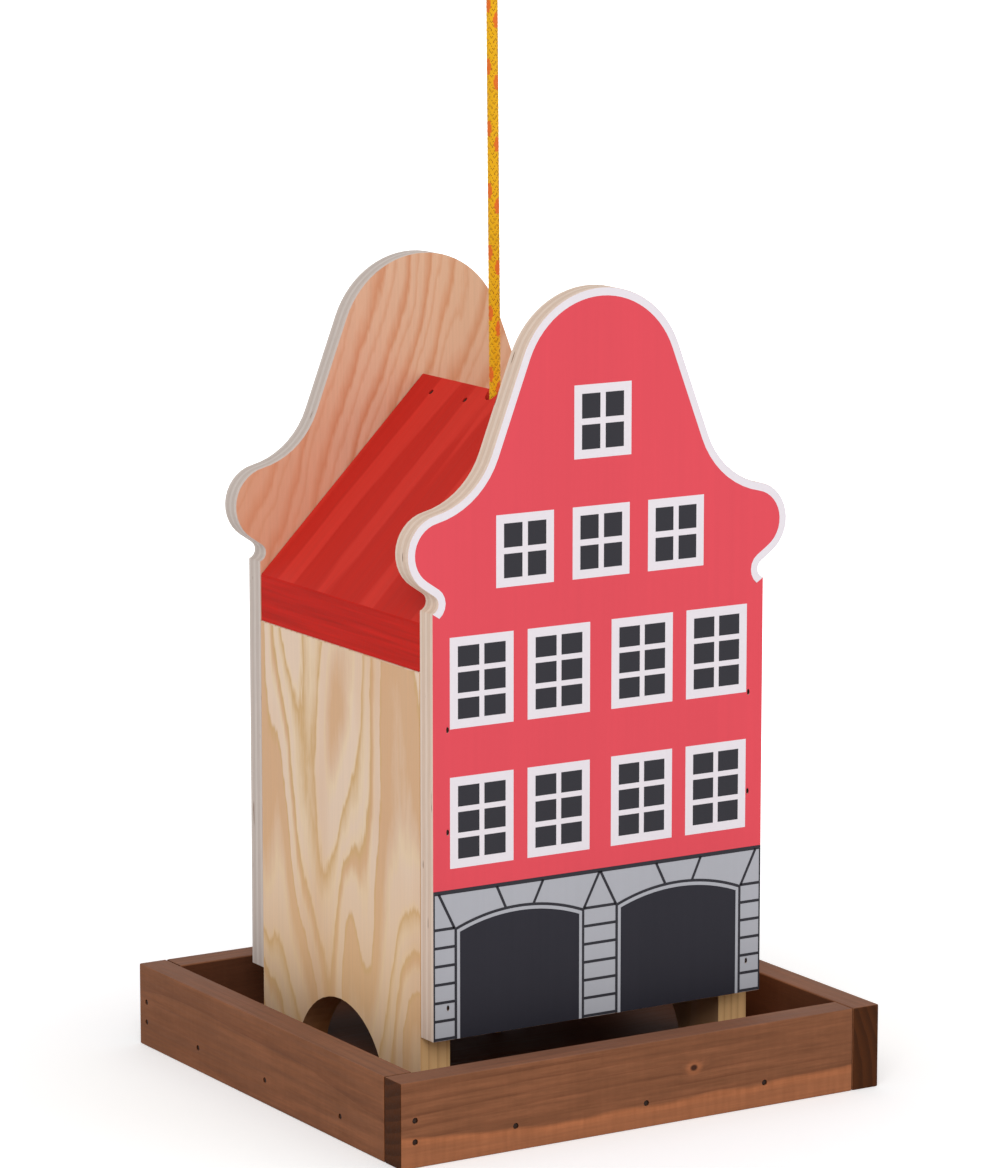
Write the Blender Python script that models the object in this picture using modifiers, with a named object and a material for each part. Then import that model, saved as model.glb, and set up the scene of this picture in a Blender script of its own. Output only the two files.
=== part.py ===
"""Hanging bird feeder: a gabled house on a shallow nailed tray, hung on one rope.

Run in Blender 4.5. Metres, +Z up, the front facade looks along -Y.
The origin is the centre of the tray's underside.
"""
from math import acos, atan2, cos, pi, radians, sin

import bmesh
import bpy
from mathutils import Matrix, Vector

# Fits between pieces
seat_gap = 0.0003
roof_side_clearance = 0.0005
floor_edge_clearance = 0.0003

# Tray: four boards in a pinwheel round a floor panel
tray_width = 0.215
tray_depth = 0.206
tray_board_height = 0.033
tray_board_thickness = 0.012
board_edge_round = 0.0006
floor_thickness = 0.006
floor_recess = 0.0065

# House walls
house_width = 0.148
house_depth = 0.140
wall_thickness = 0.013
wall_height = 0.163
arch_radius = 0.035
arch_height = 0.0247

# Bell gable facades, heights above the facade's own lower edge
facade_thickness = 0.009
facade_height = 0.280
facade_edge_round = 0.0004
seed_gap = 0.0235
crown_radius = 0.037
flank_lean = radians(21)
lobe_radius = 0.015
lobe_overhang = 0.0105
lobe_height = 0.1855
flank_foot_above_lobe = 0.035
lobe_undercut = radians(56)
notch_depth = 0.0026
notch_radius = 0.0036

# Roof: two boards, the left one lapping over the right one's upper end
roof_thickness = 0.013
roof_pitch = radians(45)
roof_edge_round = 0.0005
roof_lift = 0.140

# Rope: one line from a stop knot under the floor to a loop over the roof
rope_diameter = 0.0042
rope_hole_diameter = 0.0076
rope_from_middle = 0.0062
rope_lean = radians(0.5)
knot_above_lifted_roof = 0.016
stop_knot_radius = 0.0056
stop_knot_height = 0.0056
loop_knot_radius = 0.0056
loop_knot_height = 0.013
loop_length = 0.040
loop_width = 0.022

# Brads
brad_diameter = 0.0012
brad_head_diameter = 0.0019
brad_head_height = 0.0006
brad_sunk = 0.0004
brad_length = 0.022
short_brad_length = 0.018
tray_brad_heights = (0.010, 0.0182)
tray_brad_sides = (-0.058, 0.0, 0.054)
facade_brad_heights = (0.0125, 0.080, 0.119)
roof_brad_places = (-0.0455, -0.020, 0.020, 0.0455)
roof_brad_from_ridge = 0.0075
leg_brad_places = (-0.047, 0.047)

# Sizes worked out from the ones above
floor_top = floor_recess + floor_thickness
facade_foot = floor_top + seed_gap
wall_foot = floor_top + seat_gap
half_width = house_width / 2
half_depth = house_depth / 2
inner_half_depth = half_depth - facade_thickness
wall_middle = half_width - wall_thickness / 2
eave_under = floor_top + wall_height + seat_gap
eave_face = roof_thickness / cos(roof_pitch)
ridge_height = eave_under + eave_face + half_width * sin(roof_pitch) / cos(roof_pitch)
rope_top = ridge_height + roof_lift + knot_above_lifted_roof
tray_half_width = tray_width / 2
tray_half_depth = tray_depth / 2

# Facets
crown_steps = 14
flare_steps = 9
lobe_steps = 14
notch_steps = 7
brad_sides = 8
hole_sides = 20
arch_sides = 48

PIECES = "bird_feeder"
CUTTERS = "cutters"


def clear_scene():
    for thing in list(bpy.data.objects):
        bpy.data.objects.remove(thing, do_unlink=True)
    for name in (PIECES, CUTTERS):
        group = bpy.data.collections.new(name)
        bpy.context.scene.collection.children.link(group)


def finish(name, colour, roughness, metallic=0.0):
    """A plain Principled material for one kind of surface."""
    found = bpy.data.materials.get(name)
    if found:
        return found
    made = bpy.data.materials.new(name)
    made.use_nodes = True
    shader = made.node_tree.nodes["Principled BSDF"]
    shader.inputs["Base Color"].default_value = (*colour, 1.0)
    shader.inputs["Roughness"].default_value = roughness
    shader.inputs["Metallic"].default_value = metallic
    return made


def stained_wood():
    return finish("brown stained softwood", (0.22, 0.095, 0.05), 0.7)


def pale_ply():
    return finish("clear lacquered plywood", (0.73, 0.51, 0.31), 0.55)


def red_roof():
    return finish("red stained board", (0.56, 0.03, 0.02), 0.55)


def facade_red():
    return finish("red printed plywood", (0.78, 0.08, 0.10), 0.45)


def yellow_rope():
    return finish("yellow braided rope", (0.86, 0.45, 0.005), 0.7)


def bright_steel():
    return finish("brad steel", (0.32, 0.29, 0.27), 0.4, 1.0)


def add_piece(name, mesh, material):
    """Put a mesh in the feeder's collection under its own name."""
    piece = bpy.data.objects.new(name, mesh)
    if not mesh.materials:
        mesh.materials.append(material)
    bpy.data.collections[PIECES].objects.link(piece)
    return piece


def add_cutter(name, mesh):
    cutter = bpy.data.objects.new(name, mesh)
    cutter.hide_render = True
    cutter.display_type = "WIRE"
    bpy.data.collections[CUTTERS].objects.link(cutter)
    return cutter


def cut(piece, cutter):
    hole = piece.modifiers.new("cut " + cutter.name, "BOOLEAN")
    hole.operation = "DIFFERENCE"
    hole.solver = "EXACT"
    hole.object = cutter


def ease_edges(piece, width, segments=2):
    """Take the sharpness off a board's long edges."""
    easing = piece.modifiers.new("eased edges", "BEVEL")
    easing.width = width
    easing.segments = segments
    easing.limit_method = "ANGLE"
    easing.angle_limit = radians(40)


def board_mesh(name, size):
    """A square-sawn board about its own centre."""
    shape = bmesh.new()
    bmesh.ops.create_cube(shape, size=1.0)
    bmesh.ops.scale(shape, vec=Vector(size), verts=shape.verts)
    mesh = bpy.data.meshes.new(name)
    shape.to_mesh(mesh)
    shape.free()
    return mesh


def cylinder_mesh(name, radius, length, sides):
    """A round bar about its own centre, along Z."""
    shape = bmesh.new()
    bmesh.ops.create_cone(shape, cap_ends=True, segments=sides,
                          radius1=radius, radius2=radius, depth=length)
    mesh = bpy.data.meshes.new(name)
    shape.to_mesh(mesh)
    shape.free()
    return mesh


def sawn_outline_mesh(name, points, thickness, closed_smooth=False):
    """A flat outline in X and Z, sawn from stock of this thickness along Y."""
    outline = bpy.data.curves.new(name + " outline", "CURVE")
    outline.dimensions = "2D"
    outline.fill_mode = "BOTH"
    outline.extrude = thickness / 2
    run = outline.splines.new("POLY")
    run.points.add(len(points) - 1)
    for spot, (across, up) in zip(run.points, points):
        spot.co = (across, up, 0.0, 1.0)
    run.use_cyclic_u = True
    drawn = bpy.data.objects.new(name + " outline", outline)
    drawn.rotation_euler = (pi / 2, 0.0, 0.0)
    bpy.context.scene.collection.objects.link(drawn)
    bpy.context.view_layer.update()
    evaluated = drawn.evaluated_get(bpy.context.evaluated_depsgraph_get())
    mesh = bpy.data.meshes.new_from_object(evaluated)
    mesh.name = name
    mesh.transform(drawn.matrix_world)
    mesh.materials.clear()
    shape = bmesh.new()
    shape.from_mesh(mesh)
    bmesh.ops.remove_doubles(shape, verts=shape.verts, dist=0.00001)
    bmesh.ops.recalc_face_normals(shape, faces=shape.faces)
    shape.to_mesh(mesh)
    shape.free()
    bpy.data.objects.remove(drawn, do_unlink=True)
    bpy.data.curves.remove(outline)
    if closed_smooth:
        mesh.shade_smooth()
        mesh.set_sharp_from_angle(angle=radians(30))
    return mesh


def turned(piece, profile, sides):
    """Turn a profile, given from top to bottom as radius and height."""
    mesh = piece.data
    if not mesh.vertices:
        mesh.from_pydata([(radius, 0.0, height) for radius, height in profile],
                         [(i, i + 1) for i in range(len(profile) - 1)], [])
    turn = piece.modifiers.new("turned", "SCREW")
    turn.steps = sides
    turn.render_steps = sides
    turn.use_merge_vertices = True
    turn.merge_threshold = 0.00001
    turn.use_smooth_shade = True
    return piece


def rope_tube(name, route):
    """A length of rope along a smooth route."""
    line = bpy.data.curves.new(name, "CURVE")
    line.dimensions = "3D"
    line.bevel_depth = rope_diameter / 2
    line.bevel_resolution = 3
    line.use_fill_caps = True
    run = line.splines.new("POLY")
    run.points.add(len(route) - 1)
    for spot, place in zip(run.points, route):
        spot.co = (*place, 1.0)
    line.materials.append(yellow_rope())
    tube = bpy.data.objects.new(name, line)
    bpy.data.collections[PIECES].objects.link(tube)
    return tube


# Tray

def tray_boards():
    """Each board runs past one neighbour and butts on the other."""
    side_shift = (tray_board_thickness + seat_gap) / 2
    long_run = tray_width - tray_board_thickness - seat_gap
    short_run = tray_depth - tray_board_thickness - seat_gap
    edge_x = tray_half_width - tray_board_thickness / 2
    edge_y = tray_half_depth - tray_board_thickness / 2
    places = {
        "tray_front_board": ((-side_shift, -edge_y), (long_run, tray_board_thickness)),
        "tray_right_board": ((edge_x, -side_shift), (tray_board_thickness, short_run)),
        "tray_back_board": ((side_shift, edge_y), (long_run, tray_board_thickness)),
        "tray_left_board": ((-edge_x, side_shift), (tray_board_thickness, short_run)),
    }
    boards = {}
    for name, (middle, plan) in places.items():
        mesh = board_mesh(name, (*plan, tray_board_height))
        board = add_piece(name, mesh, stained_wood())
        board.location = (*middle, tray_board_height / 2)
        ease_edges(board, board_edge_round)
        boards[name] = board
    return boards


def tray_floor():
    inside_width = tray_width - 2 * (tray_board_thickness + floor_edge_clearance)
    inside_depth = tray_depth - 2 * (tray_board_thickness + floor_edge_clearance)
    mesh = board_mesh("tray_floor", (inside_width, inside_depth, floor_thickness))
    floor = add_piece("tray_floor", mesh, stained_wood())
    floor.location = (0.0, 0.0, floor_recess + floor_thickness / 2)
    hole_mesh = cylinder_mesh("floor rope hole", rope_hole_diameter / 2, 3 * floor_thickness, hole_sides)
    hole = add_cutter("floor rope hole", hole_mesh)
    hole.location = (0.0, rope_from_middle, floor.location.z)
    cut(floor, hole)
    return floor


# House

def side_wall(name, side):
    """A wall with its top bevelled to the roof and a round-headed seed outlet at its foot."""
    outer = side * half_width
    inner = side * (half_width - wall_thickness)
    inner_top = eave_under - seat_gap + wall_thickness * sin(roof_pitch) / cos(roof_pitch)
    section = [
        (outer, wall_foot),
        (inner, wall_foot),
        (inner, inner_top),
        (outer, eave_under - seat_gap),
    ]
    mesh = sawn_outline_mesh(name, section, 2 * (inner_half_depth - seat_gap))
    wall = add_piece(name, mesh, pale_ply())
    arch_mesh = cylinder_mesh(name + " arch", arch_radius, 3 * wall_thickness, arch_sides)
    arch = add_cutter(name + " arch", arch_mesh)
    arch.rotation_euler = (0.0, pi / 2, 0.0)
    arch.location = (side * wall_middle, 0.0, floor_top + arch_height - arch_radius)
    cut(wall, arch)
    return wall


def arc(centre, radius, start, end, steps):
    """Points along an arc, both ends included."""
    points = []
    for i in range(steps + 1):
        turn = start + (end - start) * i / steps
        points.append((centre[0] + radius * cos(turn), centre[1] + radius * sin(turn)))
    return points


def half_gable():
    """The right half of the bell gable, from the crown down to the foot."""
    crown = (0.0, facade_height - crown_radius)
    crown_arc = arc(crown, crown_radius, pi / 2, flank_lean, crown_steps)
    outward = (cos(flank_lean), sin(flank_lean))
    flank_foot_height = lobe_height + flank_foot_above_lobe
    run_out = (crown_arc[-1][1] - flank_foot_height) * sin(flank_lean) / cos(flank_lean)
    flank_foot = (crown_arc[-1][0] + run_out, flank_foot_height)

    # The flare is the one arc that touches both the flank's foot and the lobe.
    lobe = (half_width + lobe_overhang - lobe_radius, lobe_height)
    offset = (flank_foot[0] - lobe[0], flank_foot[1] - lobe[1])
    reach = offset[0] * outward[0] + offset[1] * outward[1]
    flare_radius = (offset[0] ** 2 + offset[1] ** 2 - lobe_radius ** 2) / (2 * (lobe_radius - reach))
    flare = (flank_foot[0] + flare_radius * outward[0], flank_foot[1] + flare_radius * outward[1])
    touch = atan2(flare[1] - lobe[1], flare[0] - lobe[0])
    flare_arc = arc(flare, flare_radius, flank_lean + pi, touch + pi, flare_steps)
    lobe_arc = arc(lobe, lobe_radius, touch, -lobe_undercut, lobe_steps)

    # Below the lobe the edge runs straight in to a round notch, and touches it.
    notch_across = half_width - notch_depth + notch_radius
    run_in = lobe_arc[-1][0] - (notch_across - notch_radius * cos(lobe_undercut))
    touch_height = lobe_arc[-1][1] - run_in * cos(lobe_undercut) / sin(lobe_undercut)
    notch = (notch_across, touch_height - notch_radius * sin(lobe_undercut))
    sweep = acos(1.0 - notch_depth / notch_radius)
    notch_arc = arc(notch, notch_radius, pi - lobe_undercut, pi + sweep, notch_steps)
    foot = (half_width, 0.0)
    return crown_arc + flare_arc + lobe_arc[1:] + notch_arc + [foot]


def facade(name, face_side):
    """One gable end, sawn from plywood and nailed on the walls' edges."""
    right = half_gable()
    left = [(-across, up) for across, up in reversed(right[1:])]
    outline = [(across, up + facade_foot) for across, up in right + left]
    mesh = sawn_outline_mesh(name, outline, facade_thickness, closed_smooth=True)
    panel = add_piece(name, mesh, facade_red() if face_side < 0 else pale_ply())
    panel.location = (0.0, face_side * (half_depth - facade_thickness / 2), 0.0)
    ease_edges(panel, facade_edge_round, 1)
    return panel


# Roof

def roof():
    """Two boards on one empty, which stands on the line that the roof slides along."""
    slide = bpy.data.objects.new("roof slide", None)
    slide.location = (0.0, rope_from_middle, ridge_height)
    bpy.data.collections[PIECES].objects.link(slide)
    lap = (roof_thickness * sin(roof_pitch), ridge_height - roof_thickness * cos(roof_pitch))
    rise = sin(roof_pitch) / cos(roof_pitch)
    eave_top = eave_under + eave_face
    gap = (seat_gap * cos(roof_pitch), seat_gap * sin(roof_pitch))
    valley = ridge_height - eave_face
    sections = {
        "roof_left_board": [
            (0.0, ridge_height),
            (-half_width, eave_top),
            (-half_width, eave_under),
            (lap[0], eave_under + (half_width + lap[0]) * rise),
        ],
        "roof_right_board": [
            (lap[0] + gap[0], lap[1] - gap[1]),
            (gap[0], valley - gap[1]),
            (half_width, eave_under),
            (half_width, eave_top),
        ],
    }
    hole_mesh = cylinder_mesh("ridge rope hole", rope_hole_diameter / 2, 2 * half_width, hole_sides)
    hole = add_cutter("ridge rope hole", hole_mesh)
    hole.location = (0.0, rope_from_middle, ridge_height)
    length = 2 * (inner_half_depth - roof_side_clearance)
    boards = {}
    for name, section in sections.items():
        mesh = sawn_outline_mesh(name, section, length)
        mesh.transform(Matrix.Translation((0.0, -rope_from_middle, -ridge_height)))
        board = add_piece(name, mesh, red_roof())
        board.parent = slide
        ease_edges(board, roof_edge_round)
        cut(board, hole)
        boards[name] = board
    return boards


# Rope

def rope_place(height):
    """The rope hangs plumb in the house and leans a little above the ridge."""
    above = max(0.0, height - ridge_height)
    return (-above * sin(rope_lean) / cos(rope_lean), rope_from_middle, height)


def knot(name, radius, height, foot):
    """A pulled-tight knot, as a turned bun."""
    steps = 8
    profile = [(0.0, height)]
    for i in range(1, steps):
        turn = pi * i / steps
        profile.append((radius * sin(turn) ** 0.6, height / 2 * (1 + cos(turn))))
    profile.append((0.0, 0.0))
    bun = add_piece(name, bpy.data.meshes.new(name), yellow_rope())
    turned(bun, profile, 16)
    bun.location = rope_place(foot)
    return bun


def rope():
    stop_foot = floor_recess - seat_gap - stop_knot_height
    knot("rope_stop_knot", stop_knot_radius, stop_knot_height, stop_foot)
    knot("rope_loop_knot", loop_knot_radius, loop_knot_height, rope_top)
    low = stop_foot + stop_knot_height + seat_gap
    high = rope_top - seat_gap
    steps = 32
    rope_tube("hanging_rope", [rope_place(low + (high - low) * i / steps) for i in range(steps + 1)])

    # The loop leaves the knot as two strands side by side and opens to a round head.
    head_radius = loop_width / 2
    foot = rope_top + loop_knot_height + seat_gap
    head = foot + loop_length - head_radius
    strand = 0.55 * rope_diameter
    spread = head_radius - strand
    rise = head - foot
    rising = []
    for i in range(9):
        share = i / 9
        eased = share * share * (3 - 2 * share)
        rising.append((strand + spread * eased, rope_from_middle, foot + rise * share))
    top = [(head_radius * cos(pi * i / 14), rope_from_middle, head + head_radius * sin(pi * i / 14))
           for i in range(15)]
    falling = [(-x, y, z) for x, y, z in reversed(rising)]
    aside = rope_place(rope_top)[0]
    rope_tube("rope_loop", [(x + aside, y, z) for x, y, z in rising + top + falling])


# Brads

def brad_profile(length):
    head_radius = brad_head_diameter / 2
    radius = brad_diameter / 2
    return [
        (0.0, 0.0),
        (head_radius, 0.0),
        (head_radius, -brad_head_height),
        (radius, -brad_head_height),
        (radius, -length + brad_diameter),
        (0.0, -length),
    ]


def pocket_profile(length):
    head_radius = brad_head_diameter / 2 + seat_gap
    radius = brad_diameter / 2 + seat_gap
    outside = 4 * brad_sunk
    return [
        (0.0, outside),
        (head_radius, outside),
        (head_radius, -brad_head_height - seat_gap),
        (radius, -brad_head_height - seat_gap),
        (radius, -length - seat_gap),
        (0.0, -length - seat_gap),
    ]


class Brads:
    """Drives brads and cuts their holes in the pieces that they hold."""

    def __init__(self):
        self.meshes = {}
        self.holes = {}

    def shared(self, kind, length):
        key = (kind, length)
        if key not in self.meshes:
            self.meshes[key] = bpy.data.meshes.new(kind)
        return self.meshes[key]

    def drive(self, name, surface, direction, pieces, length=brad_length):
        """Sink one brad at a point on a surface, along a direction, through these pieces."""
        along = Vector(direction).normalized()
        aim = along.to_track_quat("-Z", "Y").to_matrix().to_4x4()
        place = Matrix.Translation(Vector(surface) + along * brad_sunk) @ aim
        brad = add_piece(name, self.shared("brad", length), bright_steel())
        turned(brad, brad_profile(length), brad_sides)
        brad.matrix_world = place
        pocket = add_cutter(name + " hole", self.shared("brad hole", length))
        turned(pocket, pocket_profile(length), brad_sides)
        pocket.matrix_world = place
        for piece in pieces:
            self.holes.setdefault(piece.name, (piece, []))[1].append(pocket)

    def cut_holes(self):
        for name, (piece, pockets) in self.holes.items():
            group = bpy.data.collections.new(name + " brad holes")
            bpy.data.collections[CUTTERS].children.link(group)
            for pocket in pockets:
                group.objects.link(pocket)
            holes = piece.modifiers.new("brad holes", "BOOLEAN")
            holes.operation = "DIFFERENCE"
            holes.solver = "EXACT"
            holes.operand_type = "COLLECTION"
            holes.collection = group


def nail_tray(brads, boards, floor):
    """Two brads a corner into the next board's end, and three a side into the floor's edge."""
    front = boards["tray_front_board"]
    right = boards["tray_right_board"]
    back = boards["tray_back_board"]
    left = boards["tray_left_board"]
    end = tray_board_thickness / 2
    corners = [
        ("front", (end - tray_half_width, -tray_half_depth), (0, 1, 0), (front, left)),
        ("right", (tray_half_width, end - tray_half_depth), (-1, 0, 0), (right, front)),
        ("back", (tray_half_width - end, tray_half_depth), (0, -1, 0), (back, right)),
        ("left", (-tray_half_width, tray_half_depth - end), (1, 0, 0), (left, back)),
    ]
    for side, place, inward, pieces in corners:
        for number, up in enumerate(tray_brad_heights, 1):
            brads.drive(f"{side}_corner_brad_{number}", (*place, up), inward, pieces)
    floor_line = floor_recess + floor_thickness / 2
    for number, along in enumerate(tray_brad_sides, 1):
        sides = [
            ("front", (along, -tray_half_depth), (0, 1, 0), front),
            ("right", (tray_half_width, along), (-1, 0, 0), right),
            ("back", (-along, tray_half_depth), (0, -1, 0), back),
            ("left", (-tray_half_width, along), (1, 0, 0), left),
        ]
        for side, place, inward, board in sides:
            brads.drive(f"{side}_floor_brad_{number}", (*place, floor_line), inward, (board, floor))


def nail_house(brads, walls, facades, floor):
    """Three brads down each facade edge into the walls, and two up into each wall's foot."""
    for side_name, side in (("left", -1), ("right", 1)):
        wall = walls[side_name]
        for face_name, face in (("front", -1), ("back", 1)):
            panel = facades[face_name]
            for number, up in enumerate(facade_brad_heights, 1):
                place = (side * wall_middle, face * half_depth, facade_foot + up)
                brads.drive(f"{face_name}_{side_name}_brad_{number}", place, (0, -face, 0), (panel, wall))
        for number, along in enumerate(leg_brad_places, 1):
            place = (side * wall_middle, along, floor_recess)
            brads.drive(f"{side_name}_leg_brad_{number}", place, (0, 0, 1), (floor, wall), short_brad_length)


def nail_roof(brads, boards):
    """Brads through the left board's upper face into the right board's upper end."""
    across = -roof_brad_from_ridge * cos(roof_pitch)
    up = ridge_height - roof_brad_from_ridge * sin(roof_pitch)
    inward = (sin(roof_pitch), 0, -cos(roof_pitch))
    both = (boards["roof_left_board"], boards["roof_right_board"])
    for number, along in enumerate(roof_brad_places, 1):
        brads.drive(f"roof_brad_{number}", (across, along, up), inward, both)


def main():
    clear_scene()
    boards = tray_boards()
    floor = tray_floor()
    walls = {"left": side_wall("left_wall", -1), "right": side_wall("right_wall", 1)}
    facades = {"front": facade("front_facade", -1), "back": facade("back_facade", 1)}
    roof_boards = roof()
    rope()
    brads = Brads()
    nail_tray(brads, boards, floor)
    nail_house(brads, walls, facades, floor)
    nail_roof(brads, roof_boards)
    brads.cut_holes()


main()
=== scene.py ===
"""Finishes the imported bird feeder: its timber, printed gable fronts, braided rope and stage."""

from math import acos, cos, pi, sin, sqrt

import bmesh
import bpy
import numpy as np
from bpy.props import FloatProperty, FloatVectorProperty, IntProperty, PointerProperty
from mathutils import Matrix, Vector
from mathutils.geometry import tessellate_polygon


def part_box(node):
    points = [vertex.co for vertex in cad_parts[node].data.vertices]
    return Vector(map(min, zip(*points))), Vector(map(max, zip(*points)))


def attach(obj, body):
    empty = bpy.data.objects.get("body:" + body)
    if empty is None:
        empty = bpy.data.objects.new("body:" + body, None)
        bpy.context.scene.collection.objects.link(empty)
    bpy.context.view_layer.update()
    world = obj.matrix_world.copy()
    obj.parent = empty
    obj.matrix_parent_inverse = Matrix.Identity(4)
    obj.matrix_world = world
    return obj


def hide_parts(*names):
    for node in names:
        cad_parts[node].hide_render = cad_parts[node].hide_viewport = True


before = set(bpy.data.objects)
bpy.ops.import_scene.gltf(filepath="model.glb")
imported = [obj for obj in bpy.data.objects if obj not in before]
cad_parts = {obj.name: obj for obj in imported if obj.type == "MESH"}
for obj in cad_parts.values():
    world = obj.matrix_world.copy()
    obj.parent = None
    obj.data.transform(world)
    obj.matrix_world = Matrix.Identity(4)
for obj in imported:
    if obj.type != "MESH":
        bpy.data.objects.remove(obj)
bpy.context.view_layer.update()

bl_info = {
    "name": "Gabled Bird Feeder",
    "version": (1, 0, 0),
    "blender": (4, 5, 0),
    "location": "View3D > Sidebar > Bird Feeder",
    "description": "Finishes a hanging gabled bird feeder with wood, print, rope and a stage",
    "category": "Add Mesh",
}

FEEDER = "feeder"
X = (1.0, 0.0, 0.0)
Y = (0.0, 1.0, 0.0)
Z = (0.0, 0.0, 1.0)
BLACK = (0.0, 0.0, 0.0)
WHITE = (1.0, 1.0, 1.0)
DIAGONAL = sqrt(0.5)

GABLE_LOW, GABLE_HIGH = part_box("front_facade")
FRONT_BOARD_LOW, FRONT_BOARD_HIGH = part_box("tray_front_board")
TRAY_INSIDE_X = -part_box("tray_left_board")[1].x
TRAY_INSIDE_Y = -FRONT_BOARD_HIGH.y
WALL_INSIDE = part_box("right_wall")[0].x
ROPE_LOW, ROPE_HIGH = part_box("hanging_rope")
STOP_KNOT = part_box("rope_stop_knot")
LOOP_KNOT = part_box("rope_loop_knot")
LOOP_LOW, LOOP_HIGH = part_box("rope_loop")
ROPE_Y = (ROPE_LOW.y + ROPE_HIGH.y) / 2
ROPE_ASIDE = (LOOP_KNOT[0].x + LOOP_KNOT[1].x) / 2
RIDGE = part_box("roof_left_board")[1].z


def colour(red, green, blue):
    """A colour read in eight-bit sRGB, as the linear numbers that Blender keeps."""
    levels = []
    for level in (red, green, blue):
        share = level / 255
        levels.append(share / 12.92 if share <= 0.04045 else ((share + 0.055) / 1.055) ** 2.4)
    return tuple(levels)


def colour_setting(name, description, red, green, blue):
    return FloatVectorProperty(name=name, description=description, subtype="COLOR", size=3,
                               min=0.0, max=1.0, default=colour(red, green, blue))


def mixed(first, second, share):
    """The first colour with this share of the second in it."""
    return tuple((1.0 - share) * a + share * b for a, b in zip(first, second))


def length_setting(name, description, default):
    return FloatProperty(name=name, description=description, default=default, min=0.0,
                         subtype="DISTANCE", unit="LENGTH", precision=4)


def place_setting(name, description, *default):
    return FloatVectorProperty(name=name, description=description, default=default, size=3,
                               subtype="TRANSLATION", unit="LENGTH")


def power_setting(name, description, default):
    return FloatProperty(name=name, description=description, default=default, min=0.0, unit="POWER")


# Settings

class StageSettings(bpy.types.PropertyGroup):
    """The camera, the lamps and the pale floor."""

    camera_place: place_setting("Camera place", "Where the camera stands", -1.0226, -1.6591, 0.5487)
    camera_target: place_setting("Camera target", "The point at the middle of the picture",
                                 -0.04296, -0.06732, 0.20735)
    lens: FloatProperty(name="Lens", description="Focal length on a sensor 36 mm wide",
                        default=183.80, min=1.0, unit="CAMERA")
    sky: FloatProperty(name="Sky", description="Light from all round", default=0.62, min=0.0)
    lamp_size: length_setting("Lamp size", "The side of both soft lamps", 1.6)
    lamp_target: place_setting("Lamp target", "The point that both lamps face", 0.0, 0.0, 0.16)
    key_place: place_setting("Key lamp place", "Where the stronger lamp hangs", -1.5, -2.0, 1.9)
    key_power: power_setting("Key lamp", "Power of the stronger lamp", 30.0)
    fill_place: place_setting("Fill lamp place", "Where the weaker lamp hangs", 2.0, -1.3, 1.1)
    fill_power: power_setting("Fill lamp", "Power of the weaker lamp", 9.0)
    floor_reach: length_setting("Floor reach", "Half the floor's side", 40.0)
    floor_colour: colour_setting("Floor colour", "The plain floor", 240, 240, 240)


class TimberSettings(bpy.types.PropertyGroup):
    """Colours and ring sizes of the wood, with painted light and shade on the walls and tray."""

    wall_light: colour_setting("Wall, light wood", "Early wood of the walls", 235, 208, 184)
    wall_dark: colour_setting("Wall, dark wood", "Tan late wood of the walls", 219, 176, 136)
    wall_line: colour_setting("Wall, ring line", "Golden rim of the late wood", 212, 171, 118)
    # Painted shade: a darker brown for the sawn faces round the seed outlets.
    arch_cut_painted_shade: colour_setting("Wall, sawn arch", "The shaded cut of the seed outlets", 150, 98, 58)
    # Painted light: a lighter, warmer tone for the low part of the walls, where the tray shades them.
    wall_foot_painted_light: colour_setting("Wall, foot", "Golden wood low on the walls", 246, 202, 146)
    wall_edge: colour_setting("Wall, narrow edge", "Early wood of the narrow edges", 240, 196, 128)
    wall_edge_line: colour_setting("Wall, edge line", "Late wood of the narrow edges", 196, 138, 74)
    # Painted shade for the walls' inner faces, low down towards the seed.
    wall_inside_painted_shade: colour_setting("Wall, inside", "The unlit side towards the seed", 112, 74, 48)
    gable_light: colour_setting("Gable, light wood", "Early wood inside the gables", 228, 189, 160)
    gable_dark: colour_setting("Gable, dark wood", "Late wood inside the gables", 210, 144, 106)
    ply_pale: colour_setting("Ply edge, pale", "Plies that run along the edge", 229, 207, 190)
    ply_dark: colour_setting("Ply edge, dark", "Plies that end at the edge", 213, 183, 160)
    grey_ply_pale: colour_setting("Weathered ply, pale", "The same on the back gable", 210, 198, 190)
    grey_ply_dark: colour_setting("Weathered ply, dark", "The same on the back gable", 191, 174, 164)
    tray_light: colour_setting("Tray, light stain", "Early wood of the tray", 145, 94, 65)
    tray_dark: colour_setting("Tray, dark stain", "Late wood of the tray", 112, 69, 47)
    tray_pale: colour_setting("Tray, thin stain", "The board's paler lower edge", 182, 113, 74)
    tray_knot: colour_setting("Tray, knot", "The small knot in the front board", 66, 38, 27)
    tray_end: colour_setting("Tray, end grain", "Sawn ends, which drink the stain", 70, 36, 14)
    # Painted light: a paler tone for the boards' upward faces.
    tray_rim_painted_light: colour_setting("Tray, rim", "The dry upper edges of the boards", 134, 105, 92)
    # A darker stain with painted shade in it, for the tray's inner faces.
    tray_inside_stain_and_shade: colour_setting("Tray, inside", "The wet-looking inner faces", 92, 54, 36)
    roof_light: colour_setting("Roof, light stain", "Early wood of the roof", 214, 56, 46)
    roof_dark: colour_setting("Roof, dark stain", "Late wood of the roof", 200, 45, 36)
    roof_eave: colour_setting("Roof, eave", "The sawn lower edge", 206, 36, 26)
    tray_ring: length_setting("Tray ring", "From one growth ring to the next", 0.0043)


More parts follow.
